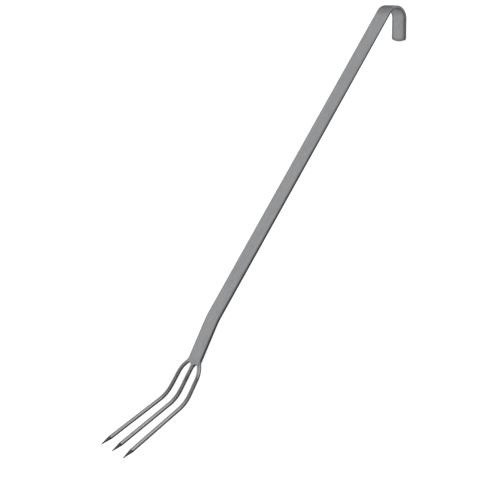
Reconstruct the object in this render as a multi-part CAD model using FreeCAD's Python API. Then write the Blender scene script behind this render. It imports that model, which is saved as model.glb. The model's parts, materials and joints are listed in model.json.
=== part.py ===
import FreeCAD, Part
import math
import os

# Long-handled three-tine fork, all steel, lying with the hollow side of its tines up.
# +X runs from the hanging hook to the points, +Y across the bar, +Z up.
# The origin is the centre of the footprint at table level. All sizes are in mm.

# Handle bar: flat strip
BAR_WIDTH = 18.0
BAR_THICK = 3.0
EDGE_R = 0.7
STRAIGHT = 347.0

# Hanging hook at the back end
HOOK_R = 12.5
HOOK_TURN = math.radians(141.5)
LEG = 20.3
LEG_CROWN = 1.8

# Neck: a slight downward set in front of the tines
NECK_R = 77.0
NECK_TURN = math.radians(8.1)
NECK_STRAIGHT = 39.7

# Tines: round rods
TINE_R = 2.0
TINE_RISE = math.radians(4.6)
BEND_START = 27.0
BEND_R = 33.0
BEND_TURN = math.radians(30.7)
FRONT = 58.0
POINT = 11.0
POINT_R = 0.35
FAN = math.radians(2.8)
SPREAD = 14.2

# Roots of the two outer tines, let into the bar's front corners
ROOT_SIDE = 5.0
ROOT_BACK = 3.0
ROOT_HEADING = math.radians(58.0)

# Ground weld metal
SHOULDER_R = 6.0
CROTCH_R = 3.2
RUN_OUT = 0.6
BLEND = 6.5

V = FreeCAD.Vector
Y_AXIS = V(0, 1, 0)
HALF = BAR_THICK / 2


def line(a, b):
    return Part.LineSegment(a, b).toShape()


def arc(a, b, c):
    return Part.Arc(a, b, c).toShape()


def prism(points, half_width):
    """Extrude a polygon of (x, z) points across Y, evenly about Y = 0."""
    corners = [V(x, -half_width, z) for x, z in points]
    face = Part.Face(Part.makePolygon(corners + corners[:1]))
    return face.extrude(V(0, 2 * half_width, 0))


# ---- Bar frame: X along the straight bar, Z out of its upper face, hook bend starting at X = 0

def hook_point(angle, offset):
    """Point on the hook bend, offset outward from the middle of the strip."""
    r = HOOK_R + offset
    return V(-r * math.sin(angle), 0, -HOOK_R + r * math.cos(angle))


def neck_point(angle, offset):
    """Point on the neck bend, offset upward from the middle of the strip."""
    r = NECK_R + offset
    return V(STRAIGHT + r * math.sin(angle), 0, -NECK_R + r * math.cos(angle))


leg_dir = V(-math.cos(HOOK_TURN), 0, -math.sin(HOOK_TURN))
leg_out = V(-math.sin(HOOK_TURN), 0, math.cos(HOOK_TURN))
end_dir = V(math.cos(NECK_TURN), 0, -math.sin(NECK_TURN))
end_up = V(math.sin(NECK_TURN), 0, math.cos(NECK_TURN))
leg_tip = hook_point(HOOK_TURN, 0) + leg_dir * (LEG + LEG_CROWN)
bar_end = neck_point(NECK_TURN, 0) + end_dir * NECK_STRAIGHT


def strip_side(offset):
    """Edges of one face of the strip, from the tip of the leg to the front end."""
    return [
        line(leg_tip + leg_out * offset, hook_point(HOOK_TURN, offset)),
        arc(hook_point(HOOK_TURN, offset), hook_point(HOOK_TURN / 2, offset), hook_point(0, offset)),
        line(hook_point(0, offset), neck_point(0, offset)),
        arc(neck_point(0, offset), neck_point(NECK_TURN / 2, offset), neck_point(NECK_TURN, offset)),
        line(neck_point(NECK_TURN, offset), bar_end + end_up * offset),
    ]


def make_strip():
    """Bent strip with a crowned leg end and softly rounded edges."""
    edges = strip_side(HALF) + strip_side(-HALF)
    edges.append(line(leg_tip + leg_out * HALF, leg_tip - leg_out * HALF))
    edges.append(line(bar_end + end_up * HALF, bar_end - end_up * HALF))
    profile = Part.Wire(Part.__sortEdges__(edges))
    profile.translate(V(0, -BAR_WIDTH / 2, 0))
    strip = Part.Face(profile).extrude(V(0, BAR_WIDTH, 0))

    half_w = BAR_WIDTH / 2
    crown_r = (half_w ** 2 + LEG_CROWN ** 2) / (2 * LEG_CROWN)
    trim = Part.makeBox(2 * LEG_CROWN, 2 * BAR_WIDTH, 4 * BAR_THICK)
    trim.translate(V(-1.5 * LEG_CROWN, -BAR_WIDTH, -2 * BAR_THICK))
    crown = Part.makeCylinder(crown_r, 6 * BAR_THICK, V(-crown_r, 0, -3 * BAR_THICK))
    trim = trim.cut(crown)
    turn = FreeCAD.Rotation(leg_dir, Y_AXIS, leg_out, "XYZ")
    trim.Placement = FreeCAD.Placement(leg_tip, turn).multiply(trim.Placement)
    strip = strip.cut(trim)

    soft = []
    for edge in strip.Edges:
        front = all(abs((v.Point - bar_end).dot(end_dir)) < 0.01 for v in edge.Vertexes)
        crosses = abs(edge.Vertexes[0].Y - edge.Vertexes[-1].Y) > BAR_WIDTH - 0.01
        crown_edge = edge.Curve.TypeId == "Part::GeomCircle" and abs(edge.Curve.Radius - crown_r) < 0.01
        if not front and (crown_edge or not crosses):
            soft.append(edge)
    return strip.makeFillet(EDGE_R, soft)


# ---- Tines: the rods leave the bar's end a little raised, in the plane of rise_dir and Y

pitch = NECK_TURN - TINE_RISE
rise_dir = V(math.cos(pitch), 0, -math.sin(pitch))
rise_up = V(math.sin(pitch), 0, math.cos(pitch))
root_r = (SPREAD - ROOT_SIDE) / (math.cos(FAN) - math.cos(ROOT_HEADING))
at_end = FreeCAD.Placement(bar_end, FreeCAD.Rotation(end_dir, Y_AXIS, end_up, "XYZ"))


def on_plane(forward, side):
    return bar_end + rise_dir * forward + Y_AXIS * side


def heading(angle):
    """Forward direction turned outward (towards +Y) in the tines' root plane."""
    return rise_dir * math.cos(angle) + Y_AXIS * math.sin(angle)


def root_point(angle):
    """Middle of the outer rod's root curve where it heads out at this angle."""
    side = ROOT_SIDE + root_r * (math.cos(angle) - math.cos(ROOT_HEADING))
    forward = -ROOT_BACK + root_r * (math.sin(ROOT_HEADING) - math.sin(angle))
    return on_plane(forward, side)


def make_rod(path, bend_from, ahead, start_dir):
    """Round rod along path, bent up at bend_from, straight on to a ground point."""
    def bend(angle):
        return bend_from + ahead * (BEND_R * math.sin(angle)) + rise_up * (BEND_R * (1 - math.cos(angle)))

    front_dir = ahead * math.cos(BEND_TURN) + rise_up * math.sin(BEND_TURN)
    cone_from = bend(BEND_TURN) + front_dir * FRONT
    path = path + [arc(bend(0), bend(BEND_TURN / 2), bend(BEND_TURN)), line(bend(BEND_TURN), cone_from)]
    start = path[0].Vertexes[0].Point
    circle = Part.Wire(Part.makeCircle(TINE_R, start, start_dir))
    rod = Part.Wire(path).makePipeShell([circle], True, False)
    cone = Part.makeCone(TINE_R, POINT_R, POINT - POINT_R, cone_from, front_dir)
    ball = Part.makeSphere(POINT_R, cone_from + front_dir * (POINT - POINT_R))
    return rod.fuse([cone, ball]).removeSplitter()


def at_bar_end(outline):
    """Prism from (x, z) points counted along the bar and off its face, from its front end."""
    block = prism(outline, 20)
    block.Placement = at_end
    return block


def grind_cuts():
    """Stock ground away where rods and weld metal run flush into the bar's two faces."""
    above = [(-12, HALF), (0, HALF), (BLEND, HALF + 1.1), (BLEND, 6), (-12, 6)]
    below = [(-12, -HALF), (BLEND, -HALF), (BLEND, -6), (-12, -6)]
    return [at_bar_end(above), at_bar_end(below)]


def make_centre_tine():
    start = on_plane(-BAR_THICK, 0)
    bend_from = on_plane(BEND_START, 0)
    rod = make_rod([line(start, bend_from)], bend_from, rise_dir, rise_dir)
    behind_end = at_bar_end([(-12, -6), (0, -6), (0, 6), (-12, 6)])
    return rod.cut([behind_end] + grind_cuts())


def make_outer_tine():
    """The tine on the +Y side."""
    middle = (ROOT_HEADING + FAN) / 2
    curve_end = root_point(FAN)
    to_bend = BEND_START - (curve_end - bar_end).dot(rise_dir)
    bend_from = curve_end + heading(FAN) * (to_bend / math.cos(FAN))
    path = [
        arc(root_point(ROOT_HEADING), root_point(middle), curve_end),
        line(curve_end, bend_from),
    ]
    rod = make_rod(path, bend_from, heading(FAN), heading(ROOT_HEADING))
    return rod.cut(grind_cuts())


# ---- Weld metal: filled corners, ground flush with the bar and hollow on their free side

curve_side = ROOT_SIDE - root_r * math.cos(ROOT_HEADING)
curve_forward = -ROOT_BACK + root_r * math.sin(ROOT_HEADING)


def waisted(forward, side, waist_r):
    """Round cutter with a waist, so that what it leaves has the rods' rounded edge."""
    flare_r = waist_r + TINE_R - math.sqrt(TINE_R ** 2 - HALF ** 2)
    top = 2 * BAR_THICK
    edges = [
        line(V(0, 0, -top), V(flare_r, 0, -top)),
        line(V(flare_r, 0, -top), V(flare_r, 0, -HALF)),
        arc(V(flare_r, 0, -HALF), V(waist_r, 0, 0), V(flare_r, 0, HALF)),
        line(V(flare_r, 0, HALF), V(flare_r, 0, top)),
        line(V(flare_r, 0, top), V(0, 0, top)),
        line(V(0, 0, top), V(0, 0, -top)),
    ]
    cutter = Part.Face(Part.Wire(edges)).revolve(V(0, 0, 0), V(0, 0, 1), 360)
    cutter.translate(V(forward, side, 0))
    return cutter


def plate(forward_from, forward_to, side_from, side_to):
    box = Part.makeBox(forward_to - forward_from, side_to - side_from, BAR_THICK)
    box.translate(V(forward_from, side_from, -HALF))
    return box


def make_shoulder(bar, tine):
    """Fill between the bar's +Y edge and the back of the outer rod's root."""
    edge = BAR_WIDTH / 2
    reach = root_r + TINE_R + SHOULDER_R
    across = edge + SHOULDER_R - curve_side
    along = math.sqrt(reach ** 2 - across ** 2)
    share = (root_r + TINE_R) / reach
    shape = plate(curve_forward - along + RUN_OUT, curve_forward - along * share,
                  edge - EDGE_R, curve_side + across * share)
    shape = shape.cut(waisted(curve_forward - along, edge + SHOULDER_R, SHOULDER_R))
    shape.Placement = at_end
    return largest(shape.cut([bar, tine]))


def make_crotch(tine, centre):
    """Fill in the corner between the centre rod, the +Y rod and the bar's end."""
    hollow_side = TINE_R + CROTCH_R
    reach = root_r - TINE_R - CROTCH_R
    along = math.sqrt(reach ** 2 - (hollow_side - curve_side) ** 2)
    hollow_forward = curve_forward - along
    touch_forward = curve_forward - along * (root_r - TINE_R) / reach
    shape = plate(0, hollow_forward - RUN_OUT, TINE_R / 2, hollow_side)
    shape = shape.fuse(plate(0, touch_forward - RUN_OUT / 2, hollow_side, 2 * hollow_side))
    shape = shape.cut(waisted(hollow_forward, hollow_side, CROTCH_R))
    shape.Placement = at_end
    return largest(shape.cut([tine, centre]))


def largest(shape):
    return max(shape.Solids, key=lambda s: s.Volume)


def mirrored(shape):
    return shape.mirror(V(0, 0, 0), Y_AXIS)


tine_left = make_outer_tine()
tine_right = mirrored(tine_left)
tine_centre = make_centre_tine()
handle_bar = largest(make_strip().cut([tine_left, tine_right]))
weld_shoulder_left = make_shoulder(handle_bar, tine_left)
weld_crotch_left = make_crotch(tine_left, tine_centre)

nodes = {
    "handle_bar": handle_bar,
    "tine_left": tine_left,
    "tine_centre": tine_centre,
    "tine_right": tine_right,
    "weld_shoulder_left": weld_shoulder_left,
    "weld_shoulder_right": mirrored(weld_shoulder_left),
    "weld_crotch_left": weld_crotch_left,
    "weld_crotch_right": mirrored(weld_crotch_left),
}

# ---- Resting attitude: on the rounded tip of the leg and under the tines' bends

foot = leg_tip - leg_dir * EDGE_R + leg_out * (HALF - EDGE_R)
bend_centre = on_plane(BEND_START, 0) + rise_up * BEND_R
span = bend_centre - foot
drop = BEND_R + TINE_R - EDGE_R
tilt = math.atan2(span.z, span.x) - math.asin(drop / span.Length)
level = FreeCAD.Placement(V(0, 0, 0), FreeCAD.Rotation(Y_AXIS, math.degrees(tilt)))

whole = Part.makeCompound([shape.copy() for shape in nodes.values()])
whole.Placement = level
box = whole.optimalBoundingBox()
shift = V(-(box.XMin + box.XMax) / 2, 0, -box.ZMin)
rest = FreeCAD.Placement(shift, FreeCAD.Rotation()).multiply(level)

os.makedirs("parts", exist_ok=True)
for name, shape in nodes.items():
    shape.Placement = rest.multiply(shape.Placement)
    shape.exportStep("parts/" + name + ".step")
    print(name, "solids", len(shape.Solids), "valid", shape.isValid(), "volume", round(shape.Volume, 1))

print("footprint", round(box.XLength, 2), round(box.YLength, 2), round(box.ZLength, 2))
print("tilt", round(math.degrees(tilt), 3))
print("hook seat axis at", rest.multVec(V(0, 0, -HOOK_R)))
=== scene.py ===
import json
import math
import random

import bmesh
import bpy
import numpy as np
from mathutils import Matrix, Vector, noise
from mathutils.bvhtree import BVHTree


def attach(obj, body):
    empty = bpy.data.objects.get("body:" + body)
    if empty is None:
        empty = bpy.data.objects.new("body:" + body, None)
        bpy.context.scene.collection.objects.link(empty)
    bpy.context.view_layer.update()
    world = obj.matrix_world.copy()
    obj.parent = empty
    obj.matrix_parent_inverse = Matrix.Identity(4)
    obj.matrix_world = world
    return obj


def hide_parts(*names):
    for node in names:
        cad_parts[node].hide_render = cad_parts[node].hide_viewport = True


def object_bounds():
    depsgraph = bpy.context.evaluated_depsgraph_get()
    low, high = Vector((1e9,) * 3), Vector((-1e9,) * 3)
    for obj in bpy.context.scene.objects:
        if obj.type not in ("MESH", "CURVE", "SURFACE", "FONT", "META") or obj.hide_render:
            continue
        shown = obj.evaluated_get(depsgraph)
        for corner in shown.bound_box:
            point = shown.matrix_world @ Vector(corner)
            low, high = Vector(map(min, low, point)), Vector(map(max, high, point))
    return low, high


# Visual model of a long-handled three-tine fork in satin steel: one skin for the strip, one for
# each rod and one of ground weld metal over the roots. Lengths are in metres, as in the CAD frame.

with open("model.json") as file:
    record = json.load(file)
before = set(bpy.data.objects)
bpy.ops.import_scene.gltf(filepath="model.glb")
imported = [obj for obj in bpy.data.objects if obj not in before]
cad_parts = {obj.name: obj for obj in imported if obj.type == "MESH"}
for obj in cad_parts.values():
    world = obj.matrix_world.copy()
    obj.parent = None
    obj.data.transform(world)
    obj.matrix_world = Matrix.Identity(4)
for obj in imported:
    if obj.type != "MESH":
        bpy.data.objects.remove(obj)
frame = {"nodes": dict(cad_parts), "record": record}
cad_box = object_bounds()

MM = 0.001

# Handle bar, hook and neck
BAR_HALF_W = 9.0 * MM
HALF_T = 1.5 * MM
EDGE_R = 0.7 * MM
CORNER_R = 1.3 * MM
STRAIGHT = 347.0 * MM
HOOK_R = 12.5 * MM
HOOK_TURN = math.radians(141.5)
LEG = 20.3 * MM
CROWN = 1.8 * MM
NECK_R = 77.0 * MM
NECK_TURN = math.radians(8.1)
NECK_STRAIGHT = 39.7 * MM

# Tines
TINE_R = 2.0 * MM
ROD_R = TINE_R * 0.99
TINE_RISE = math.radians(4.6)
BEND_START = 27.0 * MM
BEND_R = 33.0 * MM
BEND_TURN = math.radians(30.7)
FRONT = 58.0 * MM
POINT = 11.0 * MM
POINT_R = 0.35 * MM
FAN = math.radians(2.8)
SPREAD = 14.2 * MM
ROOT_SIDE = 5.0 * MM
ROOT_BACK = 3.0 * MM
ROOT_HEADING = math.radians(58.0)

Y = np.array([0.0, 1.0, 0.0])


def vec(x, y, z):
    return np.array([x, y, z], float)


# ---- Bar frame: X along the straight bar, Y across, Z out of the upper face

def hook_mid(angle):
    return vec(-HOOK_R * math.sin(angle), 0, -HOOK_R + HOOK_R * math.cos(angle))


leg_dir = vec(-math.cos(HOOK_TURN), 0, -math.sin(HOOK_TURN))
leg_out = vec(-math.sin(HOOK_TURN), 0, math.cos(HOOK_TURN))
end_dir = vec(math.cos(NECK_TURN), 0, -math.sin(NECK_TURN))
end_up = vec(math.sin(NECK_TURN), 0, math.cos(NECK_TURN))
leg_tip = hook_mid(HOOK_TURN) + leg_dir * (LEG + CROWN)
neck_centre = vec(STRAIGHT, 0, 0) - vec(0, 0, NECK_R)
neck_end = neck_centre + end_up * NECK_R
bar_end = neck_end + end_dir * NECK_STRAIGHT

LEG_L = LEG + CROWN
HOOK_L = HOOK_R * HOOK_TURN
NECK_L = NECK_R * NECK_TURN
BAR_L = LEG_L + HOOK_L + STRAIGHT + NECK_L + NECK_STRAIGHT


def bar_mid(u):
    """Middle of the strip at a distance u from the tip of its leg, and the outward normal there."""
    if u < LEG_L:
        return leg_tip - leg_dir * u, leg_out
    u -= LEG_L
    if u < HOOK_L:
        a = HOOK_TURN - u / HOOK_R
        return hook_mid(a), vec(-math.sin(a), 0, math.cos(a))
    u -= HOOK_L
    if u < STRAIGHT:
        return vec(u, 0, 0), vec(0, 0, 1)
    u -= STRAIGHT
    if u < NECK_L:
        a = u / NECK_R
        out = vec(math.sin(a), 0, math.cos(a))
        return neck_centre + out * NECK_R, out
    return neck_end + end_dir * (u - NECK_L), end_up


# Directions on the plane of the tines' roots, along them and out of its upper side
pitch = NECK_TURN - TINE_RISE
rise_dir = vec(math.cos(pitch), 0, -math.sin(pitch))
rise_up = vec(math.sin(pitch), 0, math.cos(pitch))
root_r = (SPREAD - ROOT_SIDE) / (math.cos(FAN) - math.cos(ROOT_HEADING))

# Where the bar frame sits: level on the tip of the leg and the bends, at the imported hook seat
foot = leg_tip - leg_dir * EDGE_R + leg_out * (HALF_T - EDGE_R)
span = bar_end + rise_dir * BEND_START + rise_up * BEND_R - foot
drop = BEND_R + TINE_R - EDGE_R
tilt = math.atan2(span[2], span[0]) - math.asin(drop / math.hypot(span[0], span[2]))
turn = np.array(Matrix.Rotation(tilt, 3, "Y"))
seat = [m for m in frame["record"]["mounts"] if m["name"] == "hook_seat"][0]["pos_m"]
shift = np.array(seat) - turn @ vec(0, 0, -HOOK_R)


def placed(points):
    """Points of the bar frame in the CAD frame."""
    return np.asarray(points) @ turn.T + shift


def smooth_noise(t, seed, waves):
    """Mean of a few sines with set wavelengths (m) and seeded phases."""
    rng = random.Random(seed)
    total = np.zeros_like(np.asarray(t, float))
    for wave in waves:
        total = total + np.sin(2 * math.pi * t / wave + rng.uniform(0, 2 * math.pi))
    return total / len(waves)


def skin(name, rings, around, back, marks):
    """Closed tube over equal rings of points, capped at both ends.

    The UV map "Along" holds the distance along the tube, back, and the one round it, around.
    marks are attributes with one value for each point.
    """
    n_rings, n_sides = len(rings), len(rings[0])
    faces, loops = [], []
    for i in range(n_rings - 1):
        for j in range(n_sides):
            k = (j + 1) % n_sides
            here, ahead = i * n_sides, (i + 1) * n_sides
            faces.append((here + j, here + k, ahead + k, ahead + j))
            loops += [(back[i], around[j]), (back[i], around[j + 1]),
                      (back[i + 1], around[j + 1]), (back[i + 1], around[j])]
    faces.append(tuple(range(n_sides - 1, -1, -1)))
    loops += [(back[0], around[j]) for j in range(n_sides - 1, -1, -1)]
    faces.append(tuple((n_rings - 1) * n_sides + j for j in range(n_sides)))
    loops += [(back[-1], around[j]) for j in range(n_sides)]

    mesh = bpy.data.meshes.new(name)
    mesh.from_pydata([tuple(p) for p in placed(np.concatenate(rings))], [], faces)
    layer = mesh.uv_layers.new(name="Along")
    layer.data.foreach_set("uv", np.array(loops, np.float32).ravel())
    for key, values in marks.items():
        attribute = mesh.attributes.new(key, "FLOAT", "POINT")
        attribute.data.foreach_set("value", np.asarray(values, np.float32).ravel())
    mesh.update()
    bm = bmesh.new()
    bm.from_mesh(mesh)
    bmesh.ops.recalc_face_normals(bm, faces=bm.faces)
    bm.to_mesh(mesh)
    bm.free()
    mesh.shade_smooth()
    piece = bpy.data.objects.new(name, mesh)
    bpy.context.scene.collection.objects.link(piece)
    return piece


# ---- Handle bar

EDGE_STEPS = 6                  # rows over a rounded edge
NEAR_EDGE = (1.0 * MM, 1.4 * MM, 1.9 * MM)
FLAT_FROM = 2.6 * MM            # finer rows and columns lie nearer an edge than this
FLAT_COLUMNS = 11
LEG_STEP = 0.9 * MM
HOOK_ROWS, STRAIGHT_ROWS, NECK_ROWS, END_ROWS = 64, 200, 9, 26
CROWN_FADE = 0.7                # share of the leg over which the rows' crown dies away
BORDER = 4.0 * MM               # width of the band that the attribute "rim" marks
WALL_SHARES = (0.45, -0.45)     # heights of the two points on each side wall, in half thicknesses
WAVE_H = 0.018 * MM
WAVES = (0.031, 0.047, 0.083)
WAVE_SEED = 3


def rounded_corner(side_in, behind):
    """Draw points near the leg's two corners in to CORNER_R, and find how far inside the edge each is."""
    corner = (side_in < CORNER_R) & (behind < CORNER_R)
    reach = np.hypot(CORNER_R - side_in, CORNER_R - behind)
    pull = np.where(corner & (reach > CORNER_R), CORNER_R / np.maximum(reach, 1e-9), 1.0)
    new_side = np.where(corner, CORNER_R - (CORNER_R - side_in) * pull, side_in)
    new_behind = np.where(corner, CORNER_R - (CORNER_R - behind) * pull, behind)
    inside = np.where(corner, CORNER_R - np.minimum(reach, CORNER_R), np.minimum(new_side, new_behind))
    return new_side, new_behind, inside


def bar_rows():
    """Rings round the strip from the tip of its leg to the bar's end, with slightly wavy faces."""
    near = [EDGE_R * (1 - math.cos(a * math.pi / (2 * EDGE_STEPS))) for a in range(EDGE_STEPS + 1)]
    near += NEAR_EDGE
    flat = np.linspace(-BAR_HALF_W + FLAT_FROM, BAR_HALF_W - FLAT_FROM, FLAT_COLUMNS)
    across = np.concatenate([[r - BAR_HALF_W for r in near], flat, [BAR_HALF_W - r for r in reversed(near)]])
    backs = list(near)
    u = FLAT_FROM
    while u < LEG_L:
        backs.append(u)
        u += LEG_STEP
    backs += list(LEG_L + np.linspace(0, HOOK_L, HOOK_ROWS, endpoint=False))
    backs += list(LEG_L + HOOK_L + np.linspace(0, STRAIGHT, STRAIGHT_ROWS, endpoint=False))
    backs += list(LEG_L + HOOK_L + STRAIGHT + np.linspace(0, NECK_L, NECK_ROWS, endpoint=False))
    backs += list(BAR_L - NECK_STRAIGHT + np.linspace(0, NECK_STRAIGHT, END_ROWS))

    crown_r = (BAR_HALF_W ** 2 + CROWN ** 2) / (2 * CROWN)
    crown_drop = crown_r - np.sqrt(crown_r ** 2 - across ** 2)
    rings, edges, rims = [], [], []
    for back in backs:
        side_in, behind, inside = rounded_corner(BAR_HALF_W - np.abs(across), np.full_like(across, back))
        w = np.sign(across) * (BAR_HALF_W - side_in)
        depth = np.clip(inside, 0, EDGE_R)
        height = HALF_T - EDGE_R + np.sqrt(np.maximum(EDGE_R ** 2 - (EDGE_R - depth) ** 2, 0))
        u = behind + crown_drop * max(0.0, 1 - back / (LEG_L * CROWN_FADE))
        wave = smooth_noise(u, WAVE_SEED, WAVES) * WAVE_H
        mids = [bar_mid(min(distance, BAR_L)) for distance in u]

        upper = list(range(len(w)))
        ring, edge, rim = [], [], []
        for line, shares in ((upper, (1,)), (upper[-1:], WALL_SHARES),
                             (upper[::-1], (-1,)), (upper[:1], WALL_SHARES[::-1])):
            for i in line:
                mid, out = mids[i]
                for share in shares:
                    ring.append(mid + Y * w[i] + out * (height[i] * share + wave[i]))
                    edge.append(1 - depth[i] / EDGE_R if len(shares) == 1 else 1.0)
                    rim.append(1 - min(inside[i], BORDER) / BORDER)
        rings.append(np.array(ring))
        edges.append(edge)
        rims.append(rim)

    typical = rings[len(rings) // 2]
    step = np.linalg.norm(np.diff(np.vstack([typical, typical[:1]]), axis=0), axis=1)
    around = np.concatenate([[0], np.cumsum(step)])
    return rings, around, backs, {"edge": np.array(edges), "rim": np.array(rims)}


bar = skin("handle_bar_steel", *bar_rows())


# ---- Tines

TINE_SIDES = 40
ROOT_RINGS, BEND_RINGS, FRONT_RINGS, CONE_RINGS = 34, 30, 60, 30
CAP_ANGLES = (30, 55, 75, 86)       # rings of the rounded tip, in degrees
CONE_FIRST = 0.25 * MM              # first ring of the cone, and how soon its grinding marks and painted shade start
CONE_SHADE_IN = 0.5 * MM
ROOT_STEP = 0.9 * MM
CENTRE_ROOT = -2.0 * MM             # where the centre rod starts, from the bar's end
GROUND_FACE = HALF_T - 0.03 * MM    # level to which the roots are ground, just under the strip's face
GROUND_RAMP = 0.17                  # rise of the ground face along the rods
GROUND_TOP = 9.0 * MM               # how far from the bar's end the upper side is ground
GROUND_UNDER = 6.5 * MM
GROUND_LEFT = 0.12                  # share of the metal left at the edge of the ground face, and
GROUND_SOFT = 0.2 * MM              # the depth over which it dies away
UNROUND = 0.006                     # how far the rod's section and its radius waver, as shares of it
WAVER = 0.004
WAVER_L = 7.0 * MM
ROOT_SHADE = (15.0 * MM, 5.5 * MM)   # middle and half width of the painted shade at a root
# width of the painted shade at a bend
BEND_SHADE_W = 12.0 * MM


def tine_path(outer):
    """Points on the middle of a rod, from its root to where its point starts, each with its direction."""
    def on_plane(forward, across):
        return bar_end + rise_dir * forward + Y * across

    def heading(a):
        return rise_dir * math.cos(a) + Y * math.sin(a)

    stations = []
    if outer:
        for a in np.linspace(ROOT_HEADING, FAN, ROOT_RINGS):
            across = ROOT_SIDE + root_r * (math.cos(a) - math.cos(ROOT_HEADING))
            forward = -ROOT_BACK + root_r * (math.sin(ROOT_HEADING) - math.sin(a))
            stations.append((on_plane(forward, across), heading(a)))
        ahead = heading(FAN)
        here = stations[-1][0]
        bend_from = here + ahead * ((BEND_START - (here - bar_end) @ rise_dir) / math.cos(FAN))
    else:
        ahead = rise_dir
        here = on_plane(CENTRE_ROOT, 0)
        bend_from = on_plane(BEND_START, 0)
        stations.append((here, ahead))
    length = np.linalg.norm(bend_from - here)
    for d in np.linspace(0, length, max(4, int(length / ROOT_STEP)), endpoint=False)[1:]:
        stations.append((here + ahead * d, ahead))
    for a in np.linspace(0, BEND_TURN, BEND_RINGS):
        point = bend_from + ahead * (BEND_R * math.sin(a)) + rise_up * (BEND_R * (1 - math.cos(a)))
        stations.append((point, ahead * math.cos(a) + rise_up * math.sin(a)))
    here, out = stations[-1]
    for d in np.linspace(0, FRONT, FRONT_RINGS)[1:]:
        stations.append((here + out * d, out))
    return stations


def ground_off(past, near_strip):
    """How far grinding takes back a surface that stands past the strip's face."""
    kept = GROUND_LEFT * np.exp(-past / GROUND_SOFT)
    return np.where(near_strip & (past > 0), past * (1 - kept), 0)


def tine_rows(outer, seed):
    """Rings of one round rod: ground flush with the strip over its root, and to a cone at its point."""
    angles = np.arange(TINE_SIDES) * 2 * math.pi / TINE_SIDES

    def ring(mid, ahead, radius, wave):
        across = np.cross(rise_up, ahead)
        across /= np.linalg.norm(across)
        up = np.cross(ahead, across)
        uneven = radius * (1 + UNROUND * np.sin(3 * angles + seed) + WAVER * wave)
        return mid + np.outer(uneven * np.cos(angles), across) + np.outer(uneven * np.sin(angles), up)

    rings, dist, root, bend, cone = [], [], [], [], []
    travelled = 0.0
    stations = tine_path(outer)
    last = stations[0][0]
    for mid, ahead in stations:
        travelled += np.linalg.norm(mid - last)
        last = mid
        loop = ring(mid, ahead, ROD_R, math.sin(travelled / WAVER_L + seed))
        along = (loop - bar_end) @ end_dir
        height = (loop - bar_end) @ end_up
        over = height - (GROUND_FACE + np.maximum(along, 0) * GROUND_RAMP)
        under = -GROUND_FACE - height
        lift = ground_off(under, along < GROUND_UNDER) - ground_off(over, along < GROUND_TOP)
        rings.append(loop + np.outer(lift, end_up))
        dist.append(travelled)
        past_bend = along.mean() - BEND_START - 0.5 * BEND_R * BEND_TURN
        root.append(np.exp(-((along - ROOT_SHADE[0]) / ROOT_SHADE[1]) ** 2))
        bend.append(np.full(TINE_SIDES, math.exp(-(past_bend / BEND_SHADE_W) ** 2)))
        cone.append(np.zeros(TINE_SIDES))

    mid, ahead = stations[-1]
    flank_l = POINT - POINT_R
    flank = np.linspace(CONE_FIRST, flank_l, CONE_RINGS)
    cap = flank_l + POINT_R * np.sin(np.radians(CAP_ANGLES))
    for d in np.concatenate([flank, cap]):
        past = d - flank_l
        radius = ROD_R + (POINT_R - ROD_R) * d / flank_l
        if past > 0:
            radius = math.sqrt(POINT_R ** 2 - past ** 2)
        rings.append(ring(mid + ahead * d, ahead, radius, 0.0))
        dist.append(travelled + d)
        root.append(np.zeros(TINE_SIDES))
        bend.append(np.zeros(TINE_SIDES))
        cone.append(np.full(TINE_SIDES, min(1.0, d / CONE_SHADE_IN)))
    around = np.arange(TINE_SIDES + 1) * 2 * math.pi * TINE_R / TINE_SIDES
    return rings, around, dist, {"root": np.array(root), "bend": np.array(bend), "point": np.array(cone)}


tines = {}
for name, side, seed in (("left", 1, 1.0), ("centre", 0, 2.3), ("right", -1, 4.1)):
    rings, around, dist, marks = tine_rows(side != 0, seed)
    if side < 0:
        rings = [ring * [1, -1, 1] for ring in rings]
    tines[name] = skin("tine_" + name + "_rod", rings, around, dist, marks)


# ---- Weld metal: one skin blended over the roots, slightly proud and dipping under at its rim

WELD_REACH = 13.0 * MM      # how far from the bar's end the metal under the skin is cut off
VOXEL = 0.17 * MM
SMOOTH_PASSES = 26
PROUD_MM = 0.05             # height of the skin over the weld metal itself
HELD_MM = 0.035             # height where it starts to follow the solid, and how far it sinks by the rim
SINK_MM = 0.075
RIM_BACK = -2.0 * MM        # along the bar, where the skin starts to come down, at the back and in front
RIM_FRONT = 3.5 * MM
RIM_RUN = 4.5 * MM
RIM_RAGGED = 0.22
RIM_HELD = 0.6              # share of the run by which the skin is fully held to the solid
RIM_END = 1.15              # share of the run past which it is cut away
CROTCH = (1.2 * MM, 4.4 * MM)   # middle of the painted shade in a crotch, along and across the bar
CROTCH_SHADE_R = 2.6 * MM

weld_names = [name for name in frame["nodes"] if name.startswith("weld_")]


def clamped(value):
    return min(max(value, 0.0), 1.0)


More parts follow.
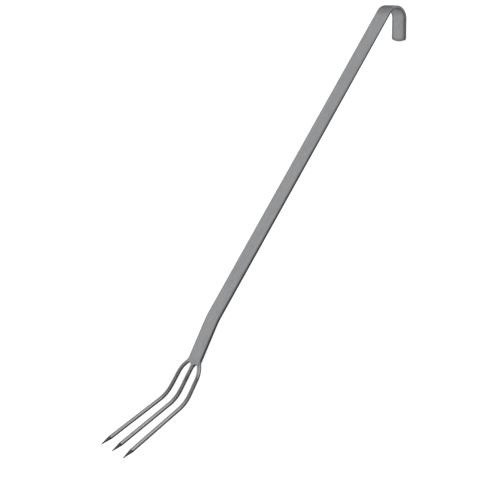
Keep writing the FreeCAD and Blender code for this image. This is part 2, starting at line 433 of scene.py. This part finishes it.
def make_weld():
    """Cut out the metal round the roots, remesh it as one smooth skin and fit its rim to the steel."""
    bm = bmesh.new()
    for part in [frame["nodes"][name] for name in weld_names] + [bar] + list(tines.values()):
        bm.from_mesh(part.data)
    solid_mesh = bpy.data.meshes.new("weld_blend")
    origin = Vector(placed(bar_end))
    ahead = Vector(turn @ end_dir)
    up = Vector(turn @ end_up)
    for sign in (-1, 1):
        bmesh.ops.bisect_plane(bm, geom=bm.verts[:] + bm.edges[:] + bm.faces[:], dist=1e-7,
                               plane_co=origin + ahead * (sign * WELD_REACH), plane_no=ahead * sign,
                               clear_outer=True)
        bmesh.ops.holes_fill(bm, edges=[e for e in bm.edges if e.is_boundary], sides=0)
    bmesh.ops.triangulate(bm, faces=bm.faces[:])
    bm.to_mesh(solid_mesh)
    bm.free()
    piece = bpy.data.objects.new("weld_blend", solid_mesh)
    bpy.context.scene.collection.objects.link(piece)
    remesh = piece.modifiers.new("Remesh", "REMESH")
    remesh.mode = "VOXEL"
    remesh.voxel_size = VOXEL
    smooth = piece.modifiers.new("Smooth", "SMOOTH")
    smooth.factor = 0.5
    smooth.iterations = SMOOTH_PASSES
    bpy.context.view_layer.update()
    evaluated = piece.evaluated_get(bpy.context.evaluated_depsgraph_get())
    made = bpy.data.meshes.new_from_object(evaluated)
    piece.modifiers.clear()
    solid = BVHTree.FromPolygons([v.co for v in solid_mesh.vertices],
                                 [p.vertices for p in solid_mesh.polygons])
    piece.data = made

    bm = bmesh.new()
    bm.from_mesh(made)
    bm.normal_update()
    edge = bm.verts.layers.float.new("edge")
    grind = bm.verts.layers.float.new("grind")
    crotch_shade = bm.verts.layers.float.new("crotch_shade")
    uv = bm.loops.layers.uv.new("Along")
    gone = []
    for v in bm.verts:
        local = v.co - origin
        along, side = local.dot(ahead), local.y
        # rim is 0 over the weld metal and 1 at the skin's ragged rim, where it is held to the solid
        ragged = 0.5 * noise.noise(v.co * 600.0) + 0.25 * noise.noise(v.co * 1700.0)
        rim = max((RIM_BACK - along) / RIM_RUN, (along - RIM_FRONT) / RIM_RUN) + RIM_RAGGED * ragged
        rim = min(max(rim, 0.0), 1.3)
        hold = min(rim / RIM_HELD, 1.0)
        hold = hold * hold * (3 - 2 * hold)
        nearest = solid.find_nearest(v.co)[0]
        held = nearest + v.normal * ((HELD_MM - SINK_MM * rim) * MM)
        v.co = (v.co + v.normal * PROUD_MM * MM).lerp(held, hold)
        # edge marks the outer sides, which the material paints in shade
        v[edge] = (clamped((abs(side) - BAR_HALF_W + EDGE_R) / (0.5 * MM))
                   * clamped((1.5 * MM - along) / (3 * MM)))
        v[grind] = 1 - hold
        # painted shade in the crotches, strongest on steep faces and on one side
        from_crotch = math.hypot(along - CROTCH[0], abs(side) - CROTCH[1])
        steep = clamped((0.93 - v.normal.dot(up)) / 0.25)
        v[crotch_shade] = max(0.0, 1.3 - from_crotch / CROTCH_SHADE_R) * steep * (1.0 if side > 0 else 0.7)
        if rim > RIM_END:
            gone.append(v)
    for face in bm.faces:
        for loop in face.loops:
            local = loop.vert.co - origin
            loop[uv].uv = (local.dot(ahead) + BAR_L, local.y + local.dot(up))
    bmesh.ops.delete(bm, geom=gone, context="VERTS")
    bm.to_mesh(made)
    bm.free()
    made.shade_smooth()
    return piece


weld = make_weld()


# ---- Materials

class Nodes:
    """Short calls for building the node tree of a material or of the world."""

    def __init__(self, owner, last):
        owner.use_nodes = True
        self.tree = owner.node_tree
        self.last = self.tree.nodes[last]

    def add(self, kind, inputs=(), **settings):
        node = self.tree.nodes.new("ShaderNode" + kind)
        for key, value in settings.items():
            setattr(node, key, value)
        for key, value in dict(inputs).items():
            self.put(node.inputs[key], value)
        return node

    def put(self, socket, value):
        if isinstance(value, bpy.types.NodeSocket):
            self.tree.links.new(value, socket)
        else:
            socket.default_value = value

    def finish(self, **inputs):
        for key, value in inputs.items():
            self.put(self.last.inputs[key.replace("_", " ")], value)

    def math(self, operation, a, b=0.0, clamp=False):
        return self.add("Math", {0: a, 1: b}, operation=operation, use_clamp=clamp).outputs[0]

    def plus(self, a, b):
        return self.math("ADD", a, b)

    def minus(self, a, b):
        return self.math("SUBTRACT", a, b)

    def times(self, a, b):
        return self.math("MULTIPLY", a, b)

    def noise(self, vector, scale, detail, rough):
        node = self.add("TexNoise", {"Vector": vector, "Scale": scale, "Detail": detail, "Roughness": rough})
        return node.outputs["Fac"]

    def streaks(self, vector, stretch, detail, rough):
        """Noise with a number of cells per metre along each axis."""
        stretched = self.add("Mapping", {"Vector": vector, "Scale": stretch}).outputs[0]
        return self.noise(stretched, 1.0, detail, rough)

    def ramp(self, value, low, high, out_low=0.0, out_high=1.0):
        return self.add("MapRange", {"Value": value, "From Min": low, "From Max": high,
                                     "To Min": out_low, "To Max": out_high}).outputs[0]

    def spread(self, fac, out_low, out_high):
        """Noise spread over a range. Nearly all of its values lie between 0.3 and 0.7."""
        return self.ramp(fac, 0.3, 0.7, out_low, out_high)

    def blend(self, share_b, a, b):
        return self.add("Mix", {0: share_b, 6: a, 7: b}, data_type="RGBA").outputs[2]

    def scaled(self, colour, value):
        return self.add("VectorMath", {0: colour, "Scale": value}, operation="SCALE").outputs[0]

    def attribute(self, name):
        return self.add("Attribute", attribute_name=name).outputs["Fac"]

    def uv(self):
        return self.add("UVMap", uv_map="Along").outputs[0]

    def place(self):
        return self.add("TexCoord").outputs["Object"]


def grey(value, warm=0.0):
    return (value * (1 + warm), value, value * (1 - warm), 1.0)


def steel(name, base, rough, grain_across):
    """Satin steel with fine grain along the piece, cloudy handling marks and thin scratches.

    Gives the material, its nodes, and the colour and roughness for the caller to go on from.
    """
    material = bpy.data.materials.new(name)
    n = Nodes(material, "Principled BSDF")
    uv, place = n.uv(), n.place()
    fine = n.streaks(uv, (45.0, grain_across * 1.6, 1.0), 4.0, 0.65)
    coarse = n.streaks(uv, (9.0, grain_across * 0.22, 1.0), 2.0, 0.5)
    cloud = n.noise(place, 95.0, 4.0, 0.6)
    smear = n.streaks(uv, (22.0, 160.0, 1.0), 3.0, 0.6)
    speck = n.noise(place, 1500.0, 2.0, 0.5)
    mottle = n.streaks(uv, (240.0, 520.0, 1.0), 2.0, 0.5)
    scratch = n.ramp(n.streaks(uv, (60.0, 5200.0, 1.0), 1.0, 0.4), 0.63, 0.70)

    tone = n.plus(n.spread(fine, -0.11, 0.11), n.spread(coarse, -0.04, 0.04))
    tone = n.plus(tone, n.spread(cloud, -0.07, 0.06))
    tone = n.plus(tone, n.spread(smear, -0.04, 0.04))
    tone = n.plus(tone, n.ramp(speck, 0.25, 0.75, -0.03, 0.03))
    tone = n.plus(tone, n.spread(mottle, -0.07, 0.07))
    tone = n.plus(tone, n.times(scratch, 0.12))
    tone = n.plus(tone, 1.0)
    tint = n.blend(n.ramp(cloud, 0.35, 0.65), grey(base, -0.034), grey(base * 0.97, -0.014))
    colour = n.scaled(tint, tone)

    roughness = n.plus(n.spread(fine, rough - 0.05, rough + 0.05), n.spread(cloud, -0.03, 0.05))
    roughness = n.minus(roughness, n.times(scratch, 0.06))

    height = n.plus(n.times(fine, 0.5), n.times(coarse, 0.35))
    height = n.plus(height, n.times(speck, 0.15))
    height = n.minus(height, n.times(scratch, 0.4))
    bump = n.add("Bump", {"Strength": 0.35, "Distance": 0.00006, "Height": height})
    n.finish(Metallic=1.0, Normal=bump.outputs[0])
    return material, n, colour, roughness


def finish_steel(n, colour, roughness):
    n.finish(Base_Color=colour, Roughness=n.math("ADD", roughness, 0.0, clamp=True))


def bar_steel():
    material, n, colour, roughness = steel("bar_satin_steel", 0.50, 0.33, 3800.0)
    uv = n.uv()
    along = n.add("SeparateXYZ", {0: uv}).outputs[0]
    mill = n.streaks(uv, (160.0, 900.0, 1.0), 4.0, 0.65)

    # Side walls: painted light next to the hook, painted shade further along, both mottled
    wall = n.times(n.ramp(n.attribute("edge"), 0.45, 1.0), n.spread(mill, 0.75, 1.0))
    wall_shade_share = n.ramp(along, 0.06, 0.24)
    # painted shade darkens the walls away from the hook; painted light brightens them next to it
    painted_wall_shade = n.times(n.spread(mill, 0.62, 0.86), wall_shade_share)
    painted_wall_light = n.times(n.spread(mill, 1.45, 1.75), n.minus(1.0, wall_shade_share))
    colour = n.blend(wall, colour, n.scaled(colour, n.plus(painted_wall_shade, painted_wall_light)))

    # Darker borders, most of all on the leg, and a darker mark where the hook's bend starts
    rim = n.attribute("rim")
    on_bar = n.ramp(along, LEG_L + 0.25 * HOOK_L, LEG_L + 0.55 * HOOK_L)
    leg_border_dark = n.times(n.ramp(rim, 0.05, 0.80, 0.0, 0.48), n.minus(1.0, on_bar))
    bar_border_dark = n.times(n.ramp(rim, 0.60, 0.82, 0.0, 0.13), on_bar)
    border_dark = n.times(n.plus(leg_border_dark, bar_border_dark), n.spread(mill, 0.8, 1.1))
    border_dark = n.times(border_dark, n.minus(1.0, wall))
    bend_start_dark = n.times(n.ramp(along, LEG_L + 0.74 * HOOK_L, LEG_L + 0.86 * HOOK_L),
                     n.ramp(along, LEG_L + 1.18 * HOOK_L, LEG_L + 1.02 * HOOK_L))
    bend_start_dark = n.times(bend_start_dark, n.ramp(mill, 0.35, 0.65, 0.12, 0.42))
    colour = n.scaled(colour, n.minus(1.0, n.math("MAXIMUM", border_dark, bend_start_dark)))

    # The walls of the bend are rougher
    hook_arc = n.times(n.ramp(along, LEG_L, LEG_L + 0.3 * HOOK_L),
                       n.ramp(along, LEG_L + 1.1 * HOOK_L, LEG_L + 0.9 * HOOK_L))
    wall_rough = n.plus(0.06, n.times(hook_arc, 0.30))
    finish_steel(n, colour, n.plus(roughness, n.times(wall, wall_rough)))
    return material


def tine_steel():
    material, n, colour, roughness = steel("tine_drawn_steel", 0.51, 0.26, 2600.0)
    uv = n.uv()
    point = n.attribute("point")
    # The point is painted much darker all round: ground rings with a painted dark reflection
    grinding_rings_and_shade = n.streaks(uv, (5200.0, 120.0, 1.0), 2.0, 0.6)
    colour = n.blend(point, colour, n.scaled(colour, n.spread(grinding_rings_and_shade, 0.22, 0.46)))

    # Painted shade at the roots and the bends, darker in patches
    shade_patches = n.streaks(uv, (90.0, 160.0, 1.0), 3.0, 0.6)
    root_bend_share = n.math("MAXIMUM", n.attribute("root"), n.attribute("bend"))
    root_bend_shade = n.times(root_bend_share, n.ramp(shade_patches, 0.35, 0.62, 0.15, 0.50))
    colour = n.blend(root_bend_shade, colour, n.scaled(colour, n.spread(shade_patches, 0.50, 0.35)))
    finish_steel(n, colour, n.plus(roughness, n.times(point, 0.10)))
    return material


def weld_steel():
    material, n, colour, roughness = steel("weld_ground_steel", 0.50, 0.34, 3200.0)
    swirl = n.streaks(n.place(), (900.0, 2600.0, 900.0), 3.0, 0.6)
    colour = n.blend(n.attribute("grind"), colour, n.scaled(colour, n.spread(swirl, 0.88, 1.04)))
    # The outer sides are painted darker, carrying on the painted shade of the strip's walls
    colour = n.blend(n.attribute("edge"), colour, n.scaled(colour, n.spread(swirl, 0.62, 0.86)))

    # Painted shade in the crotches, on their steep sides, and in every hollow
    crotch_shade = n.ramp(n.plus(n.attribute("crotch_shade"), n.spread(swirl, -0.15, 0.15)), 0.25, 0.75, 0.0, 0.85)
    colour = n.blend(crotch_shade, colour, n.scaled(colour, n.spread(swirl, 0.16, 0.30)))
    hollow = n.ramp(n.add("NewGeometry").outputs["Pointiness"], 0.40, 0.48, 1.0, 0.0)
    # painted shade in every hollow
    hollow_shade = n.math("MULTIPLY", hollow, 0.7, clamp=True)
    colour = n.blend(hollow_shade, colour, n.scaled(colour, n.spread(swirl, 0.30, 0.48)))
    finish_steel(n, colour, n.plus(roughness, n.times(hollow, 0.1)))
    return material


bar_material, tine_material, weld_material = bar_steel(), tine_steel(), weld_steel()

for piece, material, nodes, slot in [
    (bar, bar_material, ["handle_bar"], "bar_steel"),
    (tines["left"], tine_material, ["tine_left"], "tine_steel"),
    (tines["centre"], tine_material, ["tine_centre"], "tine_steel"),
    (tines["right"], tine_material, ["tine_right"], "tine_steel"),
    (weld, weld_material, weld_names, "weld_steel"),
]:
    piece.data.materials.clear()
    piece.data.materials.append(material)
    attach(piece, "root")
    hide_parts(*nodes)


# ---- Floor, light and camera

FLOOR_HALF = 6.0
LENS_MM = 75.6
SENSOR_MM = 36.0
CAMERA_AXES = Matrix((      # columns: to the right, up and back towards the camera
    (-0.5186076, -0.8255886, 0.2223729),
    (0.6210467, -0.1849745, 0.7616334),
    (-0.5876625, 0.5330928, 0.6086582),
))
AIM_SHIFT = Vector((0.0201994, -0.0302416, 0.0))
CAMERA_DISTANCE = 1.0369564

# Broad soft panels that the steel mirrors: direction, where each starts and is full (as the cosine
# of the angle from that direction), and brightness
OVERHEAD = ((0, 0, 1), -0.55, 0.25, 0.20)
PANELS = (
    ((0.05, -0.80, 0.60), 0.55, 0.88, 0.335),
    ((-0.76, 0.54, 0.38), 0.58, 0.93, 0.58),
    ((0.55, -0.75, -0.45), 0.55, 0.95, 0.34),
)
ROOM = 0.09
BACKDROP = 1.0

scene = bpy.context.scene
scene.view_settings.view_transform = "Standard"
scene.view_settings.look = "None"

floor_mesh = bpy.data.meshes.new("floor")
floor_mesh.from_pydata([(-FLOOR_HALF, -FLOOR_HALF, 0), (FLOOR_HALF, -FLOOR_HALF, 0),
                        (FLOOR_HALF, FLOOR_HALF, 0), (-FLOOR_HALF, FLOOR_HALF, 0)], [], [(0, 1, 2, 3)])
floor = bpy.data.objects.new("floor", floor_mesh)
scene.collection.objects.link(floor)
pale = bpy.data.materials.new("pale_floor")
Nodes(pale, "Principled BSDF").finish(Base_Color=grey(0.80), Roughness=0.9, Emission_Color=grey(1.0),
                                      Emission_Strength=0.80, Specular_IOR_Level=0.0)
floor_mesh.materials.append(pale)
floor.visible_glossy = False

world = bpy.data.worlds.new("studio")
scene.world = world
sky = Nodes(world, "Background")
generated = sky.add("TexCoord").outputs["Generated"]
looking = sky.add("VectorMath", {0: generated}, operation="NORMALIZE").outputs[0]


def glow(direction, start, full, strength):
    """Brightness of one panel as seen in the direction looked in."""
    facing = sky.add("VectorMath", {0: looking, 1: Vector(direction).normalized()}, operation="DOT_PRODUCT")
    inputs = {"Value": facing.outputs["Value"], "From Min": start, "From Max": full,
              "To Min": 0.0, "To Max": strength}
    return sky.add("MapRange", inputs, interpolation_type="SMOOTHSTEP").outputs[0]


total = glow(*OVERHEAD)
for panel in PANELS:
    total = sky.plus(total, glow(*panel))
total = sky.plus(total, ROOM)
camera_ray = sky.add("LightPath").outputs["Is Camera Ray"]
sky.finish(Color=sky.add("Mix", {0: camera_ray, 2: total, 3: BACKDROP}, data_type="FLOAT").outputs[0])


def soft_light(name, place, width, power):
    """Square lamp facing the origin. It lights the floor and isn't mirrored in the steel."""
    light = bpy.data.lights.new(name, "AREA")
    light.shape = "RECTANGLE"
    light.size = width
    light.size_y = width
    light.energy = power
    lamp = bpy.data.objects.new(name, light)
    scene.collection.objects.link(lamp)
    lamp.location = place
    lamp.rotation_euler = (-Vector(place)).to_track_quat("-Z", "Y").to_euler()
    lamp.visible_glossy = False


soft_light("key", (-0.9, 0.5, 1.4), 1.6, 1.5)
soft_light("fill", (0.2, 0.2, 1.8), 2.4, 3.0)

low, high = cad_box
camera_data = bpy.data.cameras.new("camera")
camera_data.lens = LENS_MM
camera_data.sensor_width = SENSOR_MM
camera_data.clip_start = 0.01
camera = bpy.data.objects.new("camera", camera_data)
scene.collection.objects.link(camera)
aim = Vector(((low[0] + high[0]) / 2, (low[1] + high[1]) / 2, low[2])) + AIM_SHIFT
camera.matrix_world = Matrix.Translation(aim + CAMERA_AXES.col[2] * CAMERA_DISTANCE) @ CAMERA_AXES.to_4x4()
scene.camera = camera
